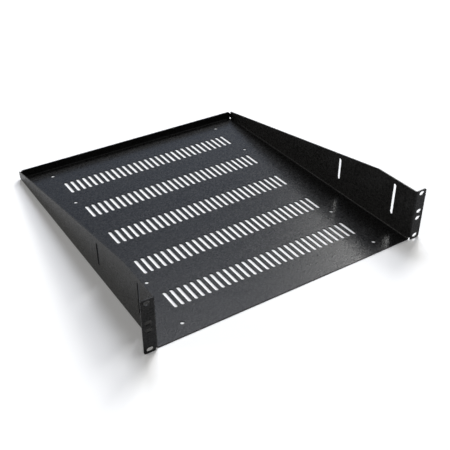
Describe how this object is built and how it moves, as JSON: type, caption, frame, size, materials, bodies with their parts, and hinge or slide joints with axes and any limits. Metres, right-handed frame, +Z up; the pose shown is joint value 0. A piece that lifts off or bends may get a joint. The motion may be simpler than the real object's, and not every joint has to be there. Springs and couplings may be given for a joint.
{
  "type": "vented rack shelf",
  "caption": "Folded steel rack shelf, 19 inch and two units high: slotted vent pan, tapered side walls, slotted ears bent outwards and a low rear lip.",
  "frame": {"origin": "centre of the ears' screw slot pattern, on the ears' back faces, which seat on the rack's front rails", "axes": "+X to the right seen from the front, +Y back into the rack, +Z up; the shelf is the same on both sides of X = 0"},
  "size_m": [0.4826, 0.508, 0.0878],
  "materials": {
    "powder_coat": "satin black powder coat, fine texture"
  },
  "bodies": {
    "root": {"vented_shelf": "powder_coat"}
  },
  "joints": []
}
